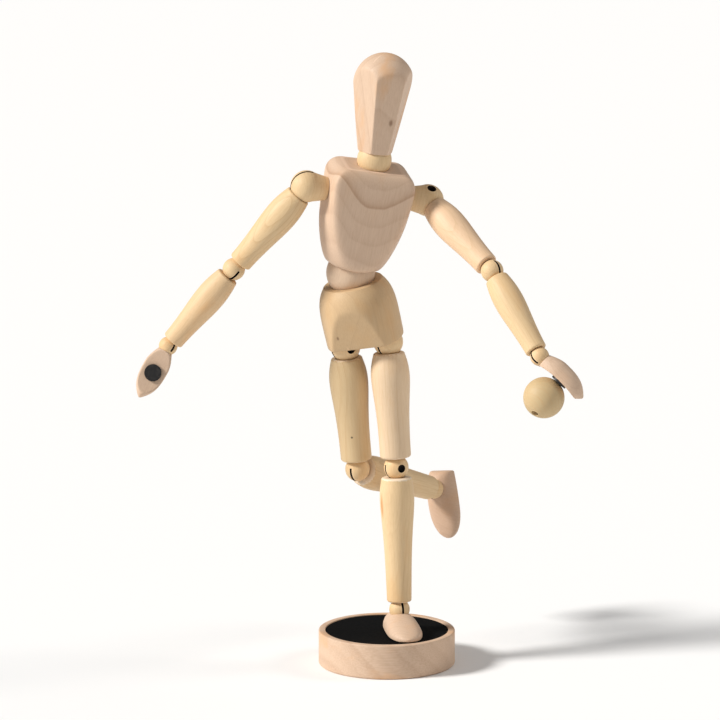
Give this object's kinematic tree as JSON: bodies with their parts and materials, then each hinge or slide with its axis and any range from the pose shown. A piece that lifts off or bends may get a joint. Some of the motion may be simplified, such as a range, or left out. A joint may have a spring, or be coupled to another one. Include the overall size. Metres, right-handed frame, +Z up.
{
  "type": "artist mannequin",
  "caption": "Jointed wooden figure for drawing: sprung slotted ball joints, magnets in feet and palms, standing on one foot on a round base and holding a ball.",
  "frame": {"origin": "middle of the base's underside", "axes": "+Z up, -Y the way the figure faces, +X towards the figure's left hand"},
  "size_m": [0.221, 0.1581, 0.3126],
  "materials": {
    "limewood": "pale turned limewood, sanded, waxed",
    "maple": "pale pinkish turned wood, sanded",
    "steel_plate_black": "matt black painted steel",
    "magnet": "dark ferrite magnet",
    "spring_steel": "bright drawn spring wire",
    "nail_steel": "dull steel nail wire"
  },
  "bodies": {
    "base": {"base_block": "maple", "base_plate": "steel_plate_black"},
    "left_foot_magnet": {"left_foot_magnet": "magnet"},
    "left_foot": {"left_foot": "limewood", "left_ankle_ball": "limewood"},
    "left_shin": {"left_shin": "limewood", "left_shin_spring": "spring_steel"},
    "left_knee_hook": {"left_knee_hook": "spring_steel"},
    "left_thigh": {"left_thigh": "limewood", "left_thigh_pins": "nail_steel", "left_knee_ball": "limewood"},
    "left_thigh_spring": {"left_thigh_spring": "spring_steel"},
    "left_hip_ball": {"left_hip_ball": "limewood"},
    "pelvis": {"pelvis": "maple", "pelvis_nails": "nail_steel"},
    "right_hip_ball": {"right_hip_ball": "limewood"},
    "right_thigh_spring": {"right_thigh_spring": "spring_steel"},
    "right_thigh": {"right_thigh": "limewood", "right_thigh_pins": "nail_steel", "right_knee_ball": "limewood"},
    "right_knee_hook": {"right_knee_hook": "spring_steel"},
    "right_shin": {"right_shin": "limewood", "right_shin_spring": "spring_steel"},
    "right_foot": {"right_foot": "limewood", "right_ankle_ball": "limewood", "right_foot_magnet": "magnet"},
    "pelvis_spring": {"pelvis_spring": "spring_steel"},
    "waist_ball": {"waist_ball": "limewood"},
    "chest": {"chest": "maple", "chest_nails": "nail_steel", "shoulder_spring": "spring_steel"},
    "neck_spring": {"neck_spring": "spring_steel"},
    "neck_ball": {"neck_ball": "limewood"},
    "head": {"head": "maple", "head_nail": "nail_steel"},
    "toy_ball": {"toy_ball": "limewood", "toy_ball_core": "nail_steel"},
    "left_shoulder_ball": {"left_shoulder_ball": "limewood"},
    "left_upper_arm_spring": {"left_upper_arm_spring": "spring_steel"},
    "left_upper_arm": {"left_upper_arm": "limewood", "left_upper_arm_pins": "nail_steel", "left_elbow_ball": "limewood"},
    "left_elbow_hook": {"left_elbow_hook": "spring_steel"},
    "left_forearm": {"left_forearm": "limewood", "left_forearm_spring": "spring_steel"},
    "left_hand": {"left_hand": "limewood", "left_wrist_ball": "limewood", "left_hand_magnet": "magnet"},
    "right_shoulder_ball": {"right_shoulder_ball": "limewood"},
    "right_upper_arm_spring": {"right_upper_arm_spring": "spring_steel"},
    "right_upper_arm": {"right_upper_arm": "limewood", "right_upper_arm_pins": "nail_steel", "right_elbow_ball": "limewood"},
    "right_elbow_hook": {"right_elbow_hook": "spring_steel"},
    "right_forearm": {"right_forearm": "limewood", "right_forearm_spring": "spring_steel"},
    "right_hand": {"right_hand": "limewood", "right_wrist_ball": "limewood", "right_hand_magnet": "magnet"}
  },
  "joints": [
    {"name": "left_foot_lift", "type": "slide", "parent": "base", "child": "left_foot_magnet", "axis": [0, 0, 1], "range_m": [0, 0.03]},
    {"name": "left_foot_swivel", "type": "hinge", "parent": "left_foot_magnet", "child": "left_foot", "pos_m": [0.00785, -0.00882, 0.017], "axis": [0, 0, 1], "range_deg": [-180, 180]},
    {"name": "left_ankle_bend", "type": "hinge", "parent": "left_foot", "child": "left_shin", "pos_m": [0.0064, -0.003, 0.0286], "axis": [0.9348, 0.3551, 0], "range_deg": [-36.3, 43.7]},
    {"name": "left_shin_twist", "type": "hinge", "parent": "left_shin", "child": "left_knee_hook", "pos_m": [0.00474, 0.00137, 0.10095], "axis": [-0.0229, 0.0603, 0.9979], "range_deg": [-120, 120]},
    {"name": "left_knee_bend", "type": "hinge", "parent": "left_knee_hook", "child": "left_thigh", "pos_m": [0.00474, 0.00137, 0.10095], "axis": [0.447, -0.8922, 0.0642], "range_deg": [-72.7, 67.3]},
    {"name": "left_thigh_twist", "type": "hinge", "parent": "left_thigh", "child": "left_thigh_spring", "pos_m": [0.00058, 0.00388, 0.16476], "axis": [-0.065, 0.0392, 0.9971], "range_deg": [-118.4, 81.6]},
    {"name": "left_hip_swing", "type": "hinge", "parent": "left_thigh_spring", "child": "left_hip_ball", "pos_m": [0.00058, 0.00388, 0.16476], "axis": [-0.7058, 0.7046, -0.0737], "range_deg": [-32.1, 55.9]},
    {"name": "left_hip_turn", "type": "hinge", "parent": "left_hip_ball", "child": "pelvis", "pos_m": [0.00058, 0.00388, 0.16476], "axis": [-0.2091, -0.1078, 0.9719], "range_deg": [-129.3, 28]},
    {"name": "right_hip_turn", "type": "hinge", "parent": "pelvis", "child": "right_hip_ball", "pos_m": [-0.02082, 0.01001, 0.16084], "axis": [-0.2091, -0.1078, 0.9719], "range_deg": [-49.2, 50]},
    {"name": "right_hip_swing", "type": "hinge", "parent": "right_hip_ball", "child": "right_thigh_spring", "pos_m": [-0.02082, 0.01001, 0.16084], "axis": [0.4086, -0.9126, -0.0133], "range_deg": [-36.7, 8]},
    {"name": "right_thigh_twist", "type": "hinge", "parent": "right_thigh_spring", "child": "right_thigh", "pos_m": [-0.02082, 0.01001, 0.16084], "axis": [-0.0945, -0.0568, 0.9939], "range_deg": [-40, 67.6]},
    {"name": "right_knee_bend", "type": "hinge", "parent": "right_thigh", "child": "right_knee_hook", "pos_m": [-0.01477, 0.01364, 0.09723], "axis": [0.8314, -0.5536, 0.0474], "range_deg": [-30, 4.5]},
    {"name": "right_shin_twist", "type": "hinge", "parent": "right_knee_hook", "child": "right_shin", "pos_m": [-0.01477, 0.01364, 0.09723], "axis": [-0.5374, -0.7796, 0.3216], "range_deg": [-120, 120]},
    {"name": "right_ankle_bend", "type": "hinge", "parent": "right_shin", "child": "right_foot", "pos_m": [0.02419, 0.07016, 0.07392], "axis": [0.8371, -0.5392, 0.0919], "range_deg": [-52.8, 27.2]},
    {"name": "waist_turn", "type": "hinge", "parent": "pelvis", "child": "pelvis_spring", "pos_m": [-0.01817, 0.0028, 0.20022], "axis": [-0.2091, -0.1078, 0.9719], "range_deg": [-110, 110]},
    {"name": "waist_bend", "type": "hinge", "parent": "pelvis_spring", "child": "waist_ball", "pos_m": [-0.01817, 0.0028, 0.20022], "axis": [0.0887, 0.9877, 0.1286], "range_deg": [-61.4, 14.6]},
    {"name": "chest_turn", "type": "hinge", "parent": "waist_ball", "child": "chest", "pos_m": [-0.01817, 0.0028, 0.20022], "axis": [0.1949, -0.1438, 0.9702], "range_deg": [-110, 110]},
    {"name": "neck_turn", "type": "hinge", "parent": "chest", "child": "neck_spring", "pos_m": [-0.00638, -0.0059, 0.25892], "axis": [0.1949, -0.1438, 0.9702], "range_deg": [-110, 110]},
    {"name": "neck_bend", "type": "hinge", "parent": "neck_spring", "child": "neck_ball", "pos_m": [-0.00638, -0.0059, 0.25892], "axis": [0.8298, 0.5515, -0.0849], "range_deg": [-30.1, 45.9]},
    {"name": "head_turn", "type": "hinge", "parent": "neck_ball", "child": "head", "pos_m": [-0.00638, -0.0059, 0.25892], "axis": [0.1212, -0.0295, 0.9922], "range_deg": [-150, 150]},
    {"name": "left_shoulder_turn", "type": "hinge", "parent": "chest", "child": "left_shoulder_ball", "pos_m": [0.02024, 0.00447, 0.23656], "axis": [0.9564, 0.2472, -0.1555], "range_deg": [-150, 150]},
    {"name": "left_arm_raise", "type": "hinge", "parent": "left_shoulder_ball", "child": "left_upper_arm_spring", "pos_m": [0.02024, 0.00447, 0.23656], "axis": [-0.2566, 0.4569, -0.8517], "range_deg": [-67.8, 13.2]},
    {"name": "left_upper_arm_twist", "type": "hinge", "parent": "left_upper_arm_spring", "child": "left_upper_arm", "pos_m": [0.02024, 0.00447, 0.23656], "axis": [-0.5613, 0.647, 0.5161], "range_deg": [-107.9, 92.1]},
    {"name": "left_elbow_bend", "type": "hinge", "parent": "left_upper_arm", "child": "left_elbow_hook", "pos_m": [0.05167, -0.03176, 0.20766], "axis": [0.7441, 0.6675, -0.0274], "range_deg": [-90.5, 59.5]},
    {"name": "left_forearm_twist", "type": "hinge", "parent": "left_elbow_hook", "child": "left_forearm", "pos_m": [0.05167, -0.03176, 0.20766], "axis": [-0.4441, 0.5249, 0.7261], "range_deg": [-120, 120]},
    {"name": "left_wrist_bend", "type": "hinge", "parent": "left_forearm", "child": "left_hand", "pos_m": [0.07454, -0.05879, 0.17026], "axis": [-0.431, 0.5854, -0.6867], "range_deg": [-35.3, 80.7]},
    {"name": "right_shoulder_turn", "type": "hinge", "parent": "chest", "child": "right_shoulder_ball", "pos_m": [-0.04001, -0.0111, 0.24635], "axis": [0.9564, 0.2472, -0.1555], "range_deg": [-150, 150]},
    {"name": "right_arm_raise", "type": "hinge", "parent": "right_shoulder_ball", "child": "right_upper_arm_spring", "pos_m": [-0.04001, -0.0111, 0.24635], "axis": [-0.2019, 0.9444, 0.2596], "range_deg": [-14.9, 66.1]},
    {"name": "right_upper_arm_twist", "type": "hinge", "parent": "right_upper_arm_spring", "child": "right_upper_arm", "pos_m": [-0.04001, -0.0111, 0.24635], "axis": [0.6469, -0.0704, 0.7593], "range_deg": [-105.6, 94.4]},
    {"name": "right_elbow_bend", "type": "hinge", "parent": "right_upper_arm", "child": "right_elbow_hook", "pos_m": [-0.07624, -0.00716, 0.20383], "axis": [0.7121, 0.4119, -0.5685], "range_deg": [-73.6, 76.4]},
    {"name": "right_forearm_twist", "type": "hinge", "parent": "right_elbow_hook", "child": "right_forearm", "pos_m": [-0.07624, -0.00716, 0.20383], "axis": [0.6401, -0.0482, 0.7668], "range_deg": [-120, 120]},
    {"name": "right_wrist_bend", "type": "hinge", "parent": "right_forearm", "child": "right_hand", "pos_m": [-0.10921, -0.00468, 0.16434], "axis": [0.6755, 0.5108, -0.5318], "range_deg": [-39.7, 76.3]},
    {"name": "toy_ball_release", "type": "slide", "parent": "left_hand", "child": "toy_ball", "axis": [-0.6887, -0.0684, -0.7218], "range_m": [0, 0.025]}
  ]
}
